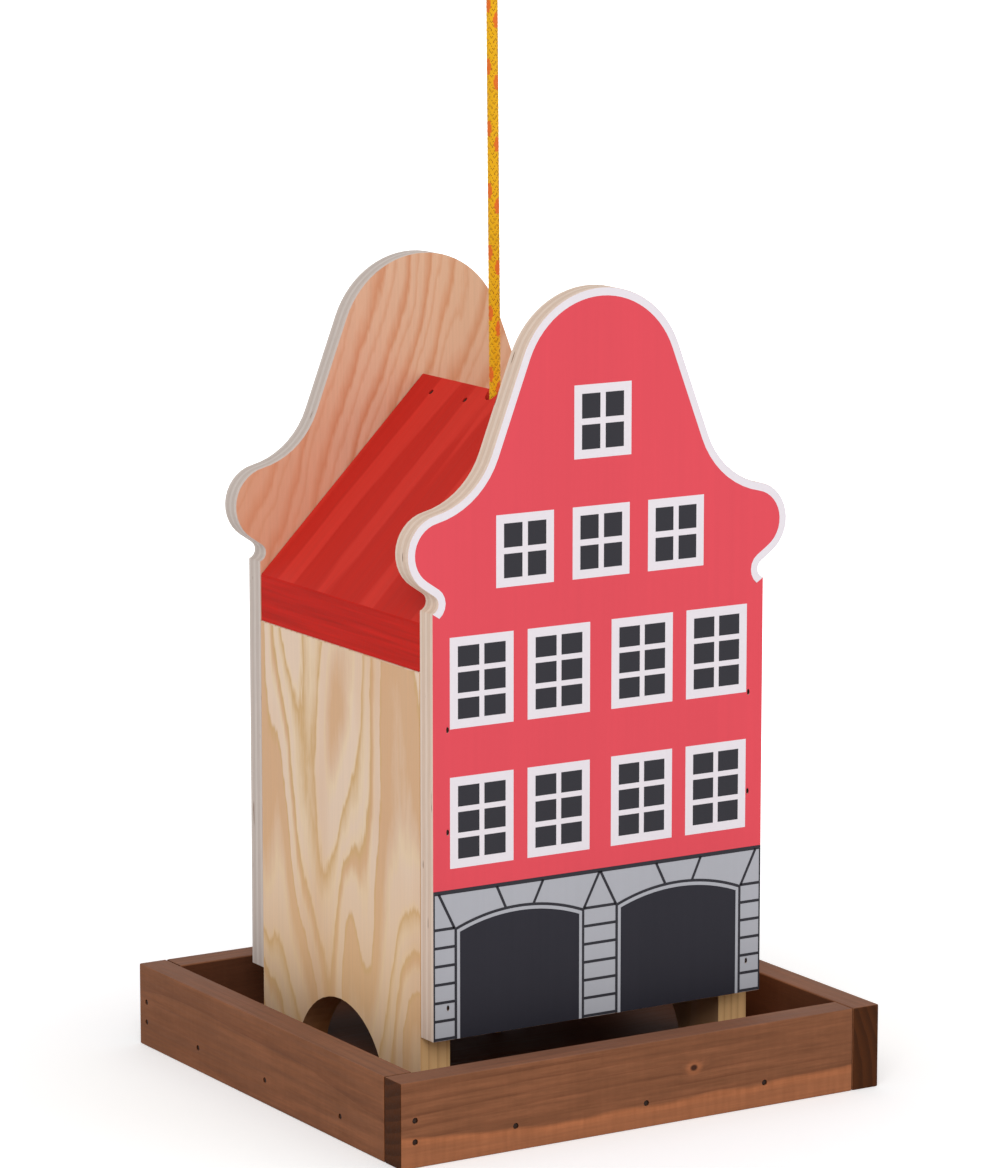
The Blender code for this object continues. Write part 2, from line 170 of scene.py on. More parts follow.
class PrintSettings(bpy.types.PropertyGroup):
    """The print on the gable fronts."""

    film: length_setting("Ink thickness", "Height of one printed layer", 0.00004)
    border: length_setting("Gable border", "Width of the white line round the gable", 0.0030)
    joint: length_setting("Joint line", "Width of the lines between stones", 0.0011)
    stone_top: length_setting("Stonework height", "Top of the grey ground floor", 0.0571)
    red: colour_setting("Red", "The painted brickwork", 229, 79, 91)
    white: colour_setting("White", "Window frames and gable border", 237, 230, 236)
    pane: colour_setting("Window panes", "The dark panes", 49, 48, 54)
    stone: colour_setting("Stone", "The ground floor", 179, 180, 187)
    line: colour_setting("Lines", "Joints and outlines", 50, 49, 55)
    door: colour_setting("Doors", "The two arched doors", 42, 41, 49)


class RopeSettings(bpy.types.PropertyGroup):
    """The braided hanging rope."""

    diameter: length_setting("Rope diameter", "Across the braid", 0.0042)
    swell: FloatProperty(name="Swell", description="The loose braid's width for each rope diameter",
                         default=1.06, min=1.0)
    stop_knot_radius: length_setting("Stop knot strand", "Half the rope's width, pulled tight", 0.0014)
    loop_knot_radius: length_setting("Loop knot strand", "The same in the upper knot", 0.0019)
    pitch: length_setting("Braid pitch", "One turn of a strand", 0.0237)
    marker_turn: FloatProperty(
        name="Marker turn", description="Turns round the rope to the first fleck", default=0.268)
    marker_start: FloatProperty(
        name="Marker start", description="Quarter turns of the marker at the rope's foot", default=3.83)
    strands: IntProperty(
        name="Strands each way", description="Half of the braid's strands", default=8, min=4)
    ring_step: length_setting("Ring step", "From one ring of the mesh to the next", 0.00045)
    around: IntProperty(name="Points round", description="Points in one ring", default=32, min=12)
    yellow: colour_setting("Yellow", "Most strands", 240, 180, 14)
    shade: colour_setting("Shaded yellow", "Between the strands", 178, 116, 8)
    orange: colour_setting("Orange", "The marker strand", 232, 114, 34)


class BradSettings(bpy.types.PropertyGroup):
    """The small sunk brads."""

    steel: colour_setting("Steel", "Dull brad heads", 46, 34, 28)
    rust: colour_setting("Rust", "Patches on the heads", 58, 34, 24)


# Materials

class NodeMaker:
    """Adds shader nodes to one tree."""

    def __init__(self, tree):
        self.tree = tree

    def node(self, kind, sockets, **settings):
        made = self.tree.nodes.new("ShaderNode" + kind)
        for key, value in settings.items():
            setattr(made, key, value)
        for key, value in sockets.items():
            if isinstance(value, bpy.types.NodeSocket):
                self.tree.links.new(value, made.inputs[key])
            else:
                made.inputs[key].default_value = value
        return made

    def maths(self, operation, first, second=0.0, third=0.0):
        return self.node("Math", {0: first, 1: second, 2: third}, operation=operation).outputs[0]

    def spread(self, value, low, high, bottom=0.0, top=1.0, step="LINEAR"):
        """A value from low to high, carried over to bottom to top and held there at the ends."""
        sockets = {0: value, 1: low, 2: high, 3: bottom, 4: top}
        return self.node("MapRange", sockets, interpolation_type=step).outputs[0]

    def background_rays(self):
        """1 for the rays that show the background as it is: camera, glossy and transmission rays."""
        path = self.node("LightPath", {}).outputs
        seen = self.maths("MAXIMUM", path["Is Camera Ray"], path["Is Glossy Ray"])
        return self.maths("MAXIMUM", seen, path["Is Transmission Ray"])


class Finish(NodeMaker):
    """One procedural material, made node by node."""

    def __init__(self, name, gloss=0.2):
        self.material = bpy.data.materials.new(name)
        self.material.use_nodes = True
        super().__init__(self.material.node_tree)
        self.shader = self.tree.nodes["Principled BSDF"]
        self.shader.inputs["Specular IOR Level"].default_value = gloss
        self.place = self.node("TexCoord", {}).outputs["Object"]
        self.surface = self.node("NewGeometry", {}).outputs["Normal"]

    def vector(self, operation, first, second=(0.0, 0.0, 0.0)):
        made = self.node("VectorMath", {0: first, 1: second}, operation=operation)
        return made.outputs["Value" if operation in ("DOT_PRODUCT", "LENGTH") else "Vector"]

    def at(self, direction):
        """How far along a direction a spot lies."""
        return self.vector("DOT_PRODUCT", self.place, direction)

    def off(self, direction):
        """The same, counted from the middle to both sides."""
        return self.maths("ABSOLUTE", self.at(direction))

    def noise(self, spot, stretch, shift=0.0, detail=2.0, roughness=0.5):
        """Noise at a spot, with its own scale along each of three directions, in cells a metre."""
        scaled = self.node("Mapping", {"Vector": spot, "Location": (shift, shift, shift),
                                       "Scale": stretch}).outputs[0]
        return self.node("TexNoise", {"Vector": scaled, "Scale": 1.0, "Detail": detail,
                                      "Roughness": roughness}).outputs["Fac"]

    def ramp(self, value, stops):
        made = self.node("ValToRGB", {0: value})
        band = made.color_ramp
        while len(band.elements) < len(stops):
            band.elements.new(1.0)
        for element, (position, tone) in zip(band.elements, stops):
            element.position = position
            element.color = (*tone, 1.0)
        return made.outputs[0]

    def blend(self, share, first, second, kind="MIX"):
        def full(tone):
            return tone if isinstance(tone, bpy.types.NodeSocket) else (*tone, 1.0)

        sockets = {0: share, 6: full(first), 7: full(second)}
        return self.node("Mix", sockets, data_type="RGBA", blend_type=kind).outputs[2]

    def cover(self, tone, over, value, low, high, most=1.0):
        """One colour laid over another as a value goes from low to high, up to this share."""
        return self.blend(self.spread(value, low, high, 0.0, most), tone, over)

    def tint(self, tone, value, low, high):
        """Darken or lighten a colour by a value that runs from 0 to 1."""
        level = self.spread(value, 0.25, 0.75, low, high)
        grey = self.node("CombineXYZ", {0: level, 1: level, 2: level}).outputs[0]
        return self.blend(1.0, tone, grey, "MULTIPLY")

    def grain_frame(self, along, across):
        """A spot as across, deep and along the grain."""
        deep = tuple(Vector(along).cross(Vector(across)))
        parts = {0: self.at(across), 1: self.at(deep), 2: self.at(along)}
        return self.node("CombineXYZ", parts).outputs[0]

    def faces(self, direction):
        """1 on faces square to a direction, on either side, and 0 elsewhere."""
        facing = self.maths("ABSOLUTE", self.vector("DOT_PRODUCT", self.surface, direction))
        return self.maths("GREATER_THAN", facing, 0.72)

    def worn_edge(self, width):
        """1 on a rounded arris, fading within this width."""
        rounded = self.node("Bevel", {"Radius": width}, samples=4).outputs[0]
        turned = self.vector("DOT_PRODUCT", rounded, self.surface)
        return self.spread(turned, 0.985, 0.80)

    def feed(self, socket, value):
        self.tree.links.new(value, self.shader.inputs[socket])

    def close(self, tone, rubbed, smooth, rough, bumps):
        """Feed the shader a colour, a roughness that follows a value, and bumps.

        Each bump is a height, its strength and its depth."""
        self.feed("Base Color", tone)
        self.feed("Roughness", self.spread(rubbed, 0.3, 0.7, smooth, rough))
        below = {}
        for height, strength, depth in bumps:
            sockets = {"Height": height, "Strength": strength, "Distance": depth, **below}
            below = {"Normal": self.node("Bump", sockets).outputs[0]}
        self.feed("Normal", below["Normal"])
        return self.material


def fibres(wood, spot, shift):
    """Fine wood fibres drawn out along the grain."""
    return wood.noise(spot, (1100.0, 1100.0, 22.0), shift, 3.0, 0.6)


def growth_rings(wood, spot, heart, ring, wobble, shift):
    """Growth rings round a heart line, as a value that climbs from 0 to 1 across each ring."""
    away = wood.vector("SUBTRACT", spot, (*heart, 0.0))
    radius = wood.vector("LENGTH", wood.vector("MULTIPLY", away, (1.0, 1.0, 0.0)))
    slow = wood.noise(spot, (13.0, 13.0, 3.2), shift, 1.5)
    radius = wood.maths("MULTIPLY_ADD", slow, wobble, radius)
    quick = wood.noise(spot, (120.0, 120.0, 14.0), shift)
    radius = wood.maths("MULTIPLY_ADD", quick, wobble * 0.07, radius)
    return wood.maths("FRACT", wood.maths("DIVIDE", radius, ring))


def softwood_colour(wood, rings, light, dark):
    """Pale early wood that darkens to a late wood line with a sharp far side."""
    middle = mixed(light, dark, 0.3)
    return wood.ramp(rings, [(0.0, middle), (0.08, light), (0.45, light), (0.72, middle),
                             (0.93, dark), (1.0, dark)])


def peeled_figure(wood, spot, shift):
    """Where the knife crosses one growth ring after another in peeled pine."""
    field = wood.noise(spot, (19.0, 19.0, 4.6), shift, 1.0, 0.35)
    ragged = wood.noise(spot, (130.0, 130.0, 30.0), shift, 3.0, 0.7)
    field = wood.maths("MULTIPLY_ADD", ragged, 0.034, field)
    drawn = wood.noise(spot, (620.0, 620.0, 30.0), shift, 2.0, 0.6)
    field = wood.maths("MULTIPLY_ADD", drawn, 0.010, field)
    return wood.maths("FRACT", wood.maths("MULTIPLY", field, 4.4))


def wall_finish(settings, name, shift):
    """Clear pine with a flame figure on the faces and long grain on the narrow edges."""
    wood = Finish(name)
    light, dark, line = settings.wall_light, settings.wall_dark, settings.wall_line
    spot = wood.grain_frame(Z, Y)
    figure = peeled_figure(wood, spot, shift)
    cream = mixed(light, colour(240, 214, 160), 0.3)
    blush = mixed(light, dark, 0.5)
    gold = mixed(cream, line, 0.5)
    face = wood.ramp(figure, [
        (0.0, light), (0.06, cream), (0.115, gold), (0.150, line), (0.178, cream), (0.20, light),
        (0.33, light), (0.38, cream), (0.44, blush), (0.51, dark), (0.625, dark), (0.655, line),
        (0.675, light), (0.77, light), (0.81, cream), (0.87, dark), (0.92, line), (0.945, cream),
        (1.0, light),
    ])
    rings = growth_rings(wood, spot, (-0.03, 0.02), 0.0031, 0.010, shift)
    edge = softwood_colour(wood, rings, settings.wall_edge, settings.wall_edge_line)
    sawn = softwood_colour(wood, rings, light, dark)
    tone = wood.blend(wood.faces(Y), sawn, edge)
    tone = wood.blend(wood.faces(X), tone, face)
    end = wood.tint(sawn, wood.noise(wood.place, (900.0, 900.0, 900.0), shift), 0.60, 0.80)
    tone = wood.blend(wood.faces(Z), tone, end)
    height = wood.at(Z)
    # Painted light: lighter and warmer towards the walls' foot, up to 0.42 of the foot tone, where the
    # tray shades them.
    low = wood.spread(height, 0.120, 0.040, 0.0, 0.42, "SMOOTHSTEP")
    tone = wood.blend(low, tone, settings.wall_foot_painted_light)
    # Painted shade: the sawn faces near the seed outlets take a darker brown, as the space behind them
    # is dark.
    near_arch = wood.maths("LESS_THAN", wood.maths("MAXIMUM", wood.off(Y), height), 0.045)
    cut = wood.maths("SUBTRACT", near_arch, wood.faces(X))
    tone = wood.blend(wood.maths("MAXIMUM", cut, 0.0), tone, settings.arch_cut_painted_shade)
    # Painted shade: the inner faces darken towards their foot, up to 0.8 of the inside tone.
    inside = wood.maths("LESS_THAN", wood.off(X), WALL_INSIDE + 0.0001)
    unlit = wood.maths("MULTIPLY", inside, wood.spread(height, 0.085, 0.045, 0.0, 0.8))
    tone = wood.blend(unlit, tone, settings.wall_inside_painted_shade)
    patches = wood.noise(spot, (30.0, 30.0, 8.0), shift + 3.0)
    tone = wood.cover(tone, colour(218, 170, 128), patches, 0.47, 0.66, 0.42)
    thread = fibres(wood, spot, shift)
    tone = wood.tint(tone, thread, 0.96, 1.03)
    bumps = [(figure, 0.15, 0.0001), (thread, 0.35, 0.00012)]
    return wood.close(tone, thread, 0.46, 0.62, bumps)


def gable_finish(settings, name, plies, shift):
    """Plywood: streaked veneer on the faces and five plies on the sawn edge."""
    wood = Finish(name)
    light, dark = settings.gable_light, settings.gable_dark
    pale, deep = plies
    spot = wood.grain_frame(Z, X)
    wave = wood.noise(spot, (26.0, 26.0, 10.0), shift, 1.5)
    ragged = wood.noise(spot, (150.0, 150.0, 34.0), shift, 3.0, 0.7)
    across = wood.maths("MULTIPLY_ADD", wave, 0.034, wood.at(X))
    across = wood.maths("MULTIPLY_ADD", ragged, 0.0065, across)
    lean = wood.spread(wood.at(Z), 0.19, 0.31, 0.034, 0.0, "SMOOTHSTEP")
    across = wood.maths("ADD", across, lean)
    streaks = wood.maths("FRACT", wood.maths("DIVIDE", across, 0.0128))
    middle = mixed(light, dark, 0.5)
    face = wood.ramp(streaks, [
        (0.0, light), (0.10, light), (0.22, middle), (0.30, light), (0.52, light), (0.68, middle),
        (0.84, dark), (0.90, middle), (0.96, light),
    ])
    warm = wood.noise(spot, (20.0, 20.0, 6.0), shift + 5.0)
    face = wood.cover(face, colour(226, 172, 136), warm, 0.40, 0.72, 0.45)
    face = wood.cover(face, colour(227, 166, 130), wood.off(X), 0.030, 0.075, 0.55)
    face = wood.cover(face, colour(222, 180, 132), wood.at(X), -0.030, 0.020, 0.30)

    depth = wood.maths("SUBTRACT", -GABLE_LOW.y, wood.off(Y))
    ripple = wood.noise(wood.place, (60.0, 60.0, 25.0), shift)
    depth = wood.maths("MULTIPLY_ADD", ripple, 0.0006, depth)
    thickness = GABLE_HIGH.y - GABLE_LOW.y
    share = wood.spread(depth, 0.0003, thickness + 0.0003)
    glue = mixed(deep, BLACK, 0.16)
    stops = [(0.0, pale)]
    for seam, before, after in zip((0.18, 0.40, 0.60, 0.82), (pale, deep) * 2, (deep, pale) * 2):
        stops += [(seam - 0.015, before), (seam, glue), (seam + 0.015, after)]
    edge = wood.blend(0.45, wood.ramp(share, stops + [(1.0, pale)]), pale)
    speck = wood.noise(wood.place, (260.0, 1600.0, 90.0), shift, 3.0, 0.65)
    edge = wood.tint(edge, speck, 0.93, 1.05)
    gaps = wood.noise(wood.place, (85.0, 700.0, 85.0), shift + 2.0, 1.0)
    edge = wood.cover(edge, colour(120, 86, 64), gaps, 0.725, 0.76)
    tone = wood.blend(wood.faces(Y), edge, face)
    thread = fibres(wood, spot, shift)
    tone = wood.tint(tone, thread, 0.95, 1.04)
    return wood.close(tone, thread, 0.48, 0.64, [(speck, 0.35, 0.00015), (thread, 0.3, 0.0001)])


def stained_finish(settings, name, along, across, heart, shift, knot=None):
    """Brown stained softwood: rings, dark sawn ends, worn arrises and planer marks.

    The board with a knot also has a strip of thin stain along its lower edge."""
    wood = Finish(name, 0.08)
    light, dark = settings.tray_light, settings.tray_dark
    spot = wood.grain_frame(along, across)
    bent = spot
    if knot:
        away = wood.vector("SUBTRACT", wood.place, knot)
        near = wood.vector("LENGTH", wood.vector("MULTIPLY", away, (0.75, 0.2, 1.0)))
        swell = wood.spread(near, 0.007, 0.0, 0.0, 0.0013, "SMOOTHSTEP")
        bent = wood.vector("ADD", spot, wood.node("CombineXYZ", {0: swell, 1: swell}).outputs[0])
    rings = growth_rings(wood, bent, heart, settings.tray_ring, 0.018, shift)
    tone = softwood_colour(wood, rings, light, dark)
    faint = wood.noise(spot, (70.0, 70.0, 12.0), shift + 8.0)
    tone = wood.blend(wood.spread(faint, 0.36, 0.60, 0.45, 0.95), tone, mixed(light, dark, 0.4))
    streak = wood.noise(bent, (420.0, 420.0, 11.0), shift + 2.0, 3.0, 0.65)
    tone = wood.tint(tone, streak, 0.80, 1.15)
    fuzz = wood.noise(bent, (230.0, 230.0, 46.0), shift + 5.0, 3.0, 0.7)
    tone = wood.tint(tone, fuzz, 0.80, 1.16)
    chatter = wood.noise(spot, (60.0, 60.0, 480.0), shift, 1.0)
    blotch = wood.noise(spot, (60.0, 60.0, 18.0), shift + 4.0, 3.0)
    tone = wood.cover(tone, mixed(light, BLACK, 0.3), blotch, 0.42, 0.75, 0.6)
    if knot:
        run = wood.at(along)
        left = wood.maths("MULTIPLY_ADD", run, -0.076, 0.0024)
        right = wood.maths("MULTIPLY_ADD", run, 0.023, 0.0068)
        sway = wood.noise(spot, (20.0, 20.0, 34.0), shift + 1.0, 3.0)
        line = wood.maths("MULTIPLY_ADD", sway, 0.004, wood.maths("MAXIMUM", left, right))
        below = wood.maths("SUBTRACT", line, wood.at(Z))
        pale = wood.tint(settings.tray_pale, streak, 0.86, 1.06)
        pale = wood.tint(pale, fuzz, 0.88, 1.08)
        pale = wood.tint(pale, chatter, 0.90, 1.06)
        pale = wood.cover(pale, light, below, 0.0004, 0.0045, 0.6)
        tone = wood.cover(tone, pale, below, 0.0, 0.0015)
        tone = wood.cover(tone, settings.tray_pale, near, 0.0034, 0.0019, 0.45)
        tone = wood.cover(tone, settings.tray_knot, near, 0.0015, 0.0008)
    # Painted light: faces square to Z, above all the boards' upper edges, take a third of a paler tone.
    rim = wood.maths("MULTIPLY", wood.faces(Z), 0.32)
    tone = wood.blend(rim, tone, settings.tray_rim_painted_light)
    end = wood.tint(settings.tray_end, rings, 1.15, 0.80)
    tone = wood.blend(wood.faces(along), tone, end)

    # Darker inner faces: a darker stain with painted shade in it, at 0.85 of the inside tone.
    inner_x = wood.maths("LESS_THAN", wood.off(X), TRAY_INSIDE_X + 0.00005)
    inner_y = wood.maths("LESS_THAN", wood.off(Y), TRAY_INSIDE_Y + 0.00005)
    inside = wood.maths("MULTIPLY", inner_x, inner_y)
    tone = wood.blend(wood.maths("MULTIPLY", inside, 0.85), tone, settings.tray_inside_stain_and_shade)
    thread = fibres(wood, spot, shift)
    tone = wood.tint(tone, thread, 0.90, 1.09)
    rubbed = wood.spread(blotch, 0.35, 0.65, 0.0, 0.3)
    worn = wood.maths("MULTIPLY", wood.worn_edge(0.0009), rubbed)
    tone = wood.blend(worn, tone, settings.tray_pale)
    tone = wood.tint(tone, chatter, 0.97, 1.03)
    bumps = [(rings, 0.3, 0.00012), (thread, 0.5, 0.0002), (chatter, 0.2, 0.0001)]
    return wood.close(tone, thread, 0.55, 0.74, bumps)


def roof_finish(settings, name, side, shift):
    """Red stained softwood with its grain down the slope."""
    wood = Finish(name, 0.06)
    spot = wood.grain_frame((-side * DIAGONAL, 0.0, DIAGONAL), Y)
    wide = wood.noise(spot, (64.0, 14.0, 4.0), shift + 6.2, 1.5)
    ragged = wood.noise(spot, (190.0, 60.0, 26.0), shift + 1.0, 2.0, 0.6)
    field = wood.maths("MULTIPLY_ADD", ragged, 0.11, wide)
    tone = wood.cover(settings.roof_light, settings.roof_dark, field, 0.525, 0.580)
    fine = wood.noise(spot, (330.0, 90.0, 7.0), shift + 2.0, 2.0, 0.6)
    tone = wood.tint(tone, fine, 0.95, 1.03)
    layers = wood.noise(wood.place, (60.0, 16.0, 480.0), shift, 2.0, 0.6)
    eave = wood.tint(settings.roof_eave, layers, 0.72, 1.08)
    tone = wood.blend(wood.faces(X), tone, eave)
    thread = fibres(wood, spot, shift)
    tone = wood.tint(tone, thread, 0.95, 1.04)
    return wood.close(tone, thread, 0.50, 0.66, [(fine, 0.25, 0.0001), (thread, 0.4, 0.00015)])


def print_finish(name, tone, roughness, mottle):
    """Ink on plywood: an even colour with the veneer's grain just showing through."""
    ink = Finish(name, 0.12)
    spot = ink.grain_frame(Z, X)
    streak = ink.noise(spot, (420.0, 420.0, 9.0), 0.0, 3.0, 0.55)
    cloud = ink.noise(spot, (24.0, 24.0, 7.0), 2.0)
    shade = ink.tint(tone, cloud, 1.0 - mottle, 1.0 + mottle)
    shade = ink.tint(shade, streak, 1.0 - mottle / 2, 1.0 + mottle / 2)
    rub = ink.noise(spot, (1500.0, 1500.0, 60.0), 5.0)
    return ink.close(shade, rub, roughness, roughness + 0.10, [(streak, 0.25, 0.00008)])


def rope_finish(name, tone):
    """Twisted filaments with a soft sheen."""
    braid = Finish(name)
    strand = braid.noise(braid.place, (5200.0, 5200.0, 1600.0), 0.0, 2.0, 0.6)
    shade = braid.tint(tone, strand, 0.84, 1.12)
    faded = braid.noise(braid.place, (260.0, 260.0, 60.0), 1.0)
    shade = braid.tint(shade, faded, 0.94, 1.05)
    braid.shader.inputs["Sheen Weight"].default_value = 0.15
    braid.shader.inputs["Sheen Roughness"].default_value = 0.4
    return braid.close(shade, strand, 0.50, 0.72, [(strand, 0.5, 0.00015)])


def steel_finish(name, tone, rust_tone):
    """Dull wire with patches of rust."""
    steel = Finish(name)
    rust = steel.noise(steel.place, (900.0, 900.0, 900.0), 0.0, 3.0)
    shade = steel.cover(tone, rust_tone, rust, 0.45, 0.65)
    steel.shader.inputs["Metallic"].default_value = 0.4
    return steel.close(shade, rust, 0.42, 0.70, [(rust, 0.3, 0.0001)])


def dress(node, material):
    """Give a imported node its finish."""
    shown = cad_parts[node]
    if not shown.material_slots:
        shown.data.materials.append(material)
    for place in shown.material_slots:
        place.material = material


# Print

# Each row holds the windows' sides, their foot and head, and the glazing that panes_in asks for.
LOW_WINDOWS = [(0.0048, 0.0325), (0.0387, 0.0665), (-0.0325, -0.0048), (-0.0665, -0.0387)]
HIGH_WINDOWS = [(-0.0127, 0.0127), (0.0210, 0.0463), (-0.0463, -0.0210)]
SIX_PANES = ((2, 3), 0.0035, (0.0022, 0.0021))
FOUR_PANES = ((2, 2), 0.0034, (0.0024, 0.0024))
WINDOW_ROWS = [
    (LOW_WINDOWS, (0.0659, 0.1007), SIX_PANES),
    (LOW_WINDOWS, (0.1191, 0.1537), SIX_PANES),
    (HIGH_WINDOWS, (0.1705, 0.1979), FOUR_PANES),
    ([(-0.0121, 0.0133)], (0.2160, 0.2439), FOUR_PANES),
]

# The doors' middles, the depth of their arches' centres below the panel's foot, and the half width
# and head radius of each outline, rim and leaf.
DOORS = (-0.03585, 0.03585)
ARCH_CENTRE = 0.0283
DOOR_ARCHES = ((0.0288, 0.0769), (0.0277, 0.0758), (0.02645, 0.0745))

# The ledge over the stonework, the height of a course, the piers' inner edges, the line down each
# side, and the slanted joints of the arch stones over the right-hand door, from the ledge down.
LEDGE = (0.0563, 0.0579)
COURSE = 0.00705
SIDE_PIER, MIDDLE_PIER = 0.0645, 0.0071
SIDE_LINE = 0.0007
ARCH_JOINTS = (((0.0715, 0.0567), (0.0646, 0.0430)), ((0.0460, 0.0567), (0.0420, 0.0479)),
               ((0.0255, 0.0567), (0.0298, 0.0479)), ((0.0002, 0.0567), (0.0074, 0.0428)))

# Half the width and height of the hole that the ink leaves over a brad.
BRAD_HOLE = (0.0006, 0.0012)


def box_loop(left, right, low, high):
    return [(left, low), (right, low), (right, high), (left, high)]


def stroke_loop(start, end, width):
    """A straight line as a thin four-sided shape."""
    run = Vector(end) - Vector(start)
    aside = Vector((-run.y, run.x)).normalized() * width / 2
    corners = [Vector(start) - aside, Vector(end) - aside, Vector(end) + aside, Vector(start) + aside]
    return [tuple(corner) for corner in corners]


def arched_loop(middle, half, radius, foot):
    """A door with a shallow arched head."""
    lean = acos(half / radius)
    points = [(middle - half, foot), (middle + half, foot)]
    for i in range(25):
        turn = lean + (pi - 2 * lean) * i / 24
        points.append((middle + radius * cos(turn), radius * sin(turn) - ARCH_CENTRE))
    return points


def oval_loop(across, up, half_width, half_height):
    turns = [2 * pi * i / 14 for i in range(14)]
    return [(across + half_width * cos(turn), up + half_height * sin(turn)) for turn in turns]


def panes_in(span, heights, counts, margin, bars):
    """The panes of one window: how many across and up, the frame's width and its bars' widths."""
    (left, right), (low, high) = span, heights
    wide = (right - left - 2 * margin - (counts[0] - 1) * bars[0]) / counts[0]
    tall = (high - low - 2 * margin - (counts[1] - 1) * bars[1]) / counts[1]
    shapes = []
    for column in range(counts[0]):
        for row in range(counts[1]):
            x = left + margin + column * (wide + bars[0])
            z = low + margin + row * (tall + bars[1])
            shapes.append(box_loop(x, x + wide, z, z + tall))
    return shapes


def stonework_lines(half, bottom, joint):
    """The dark lines of the ground floor: ledge, sides, courses and arch stones."""
    courses = [(up, up + joint) for up in (bottom + 0.0001 + COURSE * step for step in range(7))]
    lines = [[box_loop(-half, half, *LEDGE)]]
    for mirror in (-1, 1):
        edge, inside = mirror * half, mirror * (half - SIDE_LINE)
        lines.append([box_loop(*sorted((edge, inside)), bottom, LEDGE[0])])
        pier = sorted((mirror * SIDE_PIER, inside))
        lines += [[box_loop(*pier, *course)] for course in courses]
        for ends in ARCH_JOINTS:
            upper, lower = ((mirror * x, z) for x, z in ends)
            lines.append([stroke_loop(upper, lower, joint)])
    return lines + [[box_loop(-MIDDLE_PIER, MIDDLE_PIER, *course)] for course in courses]


def inset(loop, distance):
    """The corners of a closed counter-clockwise loop, each moved inwards."""
    moved = []
    for i, point in enumerate(loop):
        before = (Vector(point) - Vector(loop[i - 1])).normalized()
        after = (Vector(loop[(i + 1) % len(loop)]) - Vector(point)).normalized()
        first, second = Vector((-before.y, before.x)), Vector((-after.y, after.x))
        shift = (first + second) * distance / (1.0 + first.dot(second))
        moved.append((point[0] + shift.x, point[1] + shift.y))
    return moved


def flat_outline(node, level):
    """The outer edge of a board's flat face at this y, as x and height above the board's foot."""
    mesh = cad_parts[node].data
    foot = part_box(node)[0].z
    uses = {}
    for face in mesh.polygons:
        spots = [mesh.vertices[i].co for i in face.vertices]
        if all(abs(spot.y - level) < 0.00001 for spot in spots):
            keys = [(round(spot.x, 6), round(spot.z - foot, 6)) for spot in spots]
            for pair in zip(keys, keys[1:] + keys[:1]):
                edge = frozenset(pair)
                uses[edge] = uses.get(edge, 0) + 1
    beside = {}
    for edge in (edge for edge, count in uses.items() if count == 1):
        first, second = sorted(edge)
        beside.setdefault(first, []).append(second)
        beside.setdefault(second, []).append(first)
    loops = []
    while beside:
        here = min(beside)
        loop = []
        while here in beside:
            loop.append(here)
            nearby = beside.pop(here)
            here = next((spot for spot in nearby if spot in beside), None)
        loops.append(loop)
    if not loops:
        raise RuntimeError("no flat face was found on " + node)
    outer = max(loops, key=len)
    area = sum(a[0] * b[1] - b[0] * a[1] for a, b in zip(outer, outer[1:] + outer[:1]))
    return outer if area > 0 else outer[::-1]


def printed_layer(name, shapes, low, high, foot, side, material):
    """A thin layer of ink: every shape is a list of loops, the outer edge first and then its holes."""
    points, faces = [], []
    for loops in shapes:
        flat = [[Vector((x, z, 0.0)) for x, z in loop] for loop in loops]
        start = len(points)
        count = sum(len(loop) for loop in loops)
        for level in (low, high):
            points += [(-side * x, side * level, z + foot) for loop in loops for x, z in loop]
        for triangle in tessellate_polygon(flat):
            corners = [start + i for i in triangle]
            faces += [corners, [i + count for i in reversed(corners)]]
        first = start
        for loop in loops:
            for i in range(len(loop)):
                here, there = first + i, first + (i + 1) % len(loop)
                faces.append([here, there, there + count, here + count])
            first += len(loop)
    mesh = bpy.data.meshes.new(name)
    mesh.from_pydata(points, [], faces)
    mesh.validate()
    mesh.materials.append(material)
    tidy_normals(mesh)
    add_piece(name, mesh)


def tidy_normals(mesh):
    """Turn every face of a mesh outwards."""
    shape = bmesh.new()
    shape.from_mesh(mesh)
    bmesh.ops.recalc_face_normals(shape, faces=shape.faces)
    shape.to_mesh(mesh)
    shape.free()


def add_piece(name, mesh):
    """Put a new piece in the scene, on the feeder's own body."""
    piece = bpy.data.objects.new(name, mesh)
    bpy.context.scene.collection.objects.link(piece)
    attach(piece, FEEDER)
    return piece


# Rope

def even_path(points, step):
    """Points along a line at an even step."""
    corners = np.array(points, float)
    runs = np.linalg.norm(np.diff(corners, axis=0), axis=1)
    reached = np.concatenate([[0.0], np.cumsum(runs)])
    marks = np.linspace(0.0, reached[-1], max(2, int(round(reached[-1] / step)) + 1))
    return np.stack([np.interp(marks, reached, corners[:, i]) for i in range(3)], axis=1), marks


def line_frames(path):
    """Two directions square to the line at each point, turned as little as possible on the way."""
    ahead = np.gradient(path, axis=0)
    ahead /= np.linalg.norm(ahead, axis=1)[:, None]
    side = np.cross(ahead[0], Y)
    sides = []
    for direction in ahead:
        side = side - direction * np.dot(side, direction)
        side = side / np.linalg.norm(side)
        sides.append(side)
    sides = np.array(sides)
    return sides, np.cross(ahead, sides)


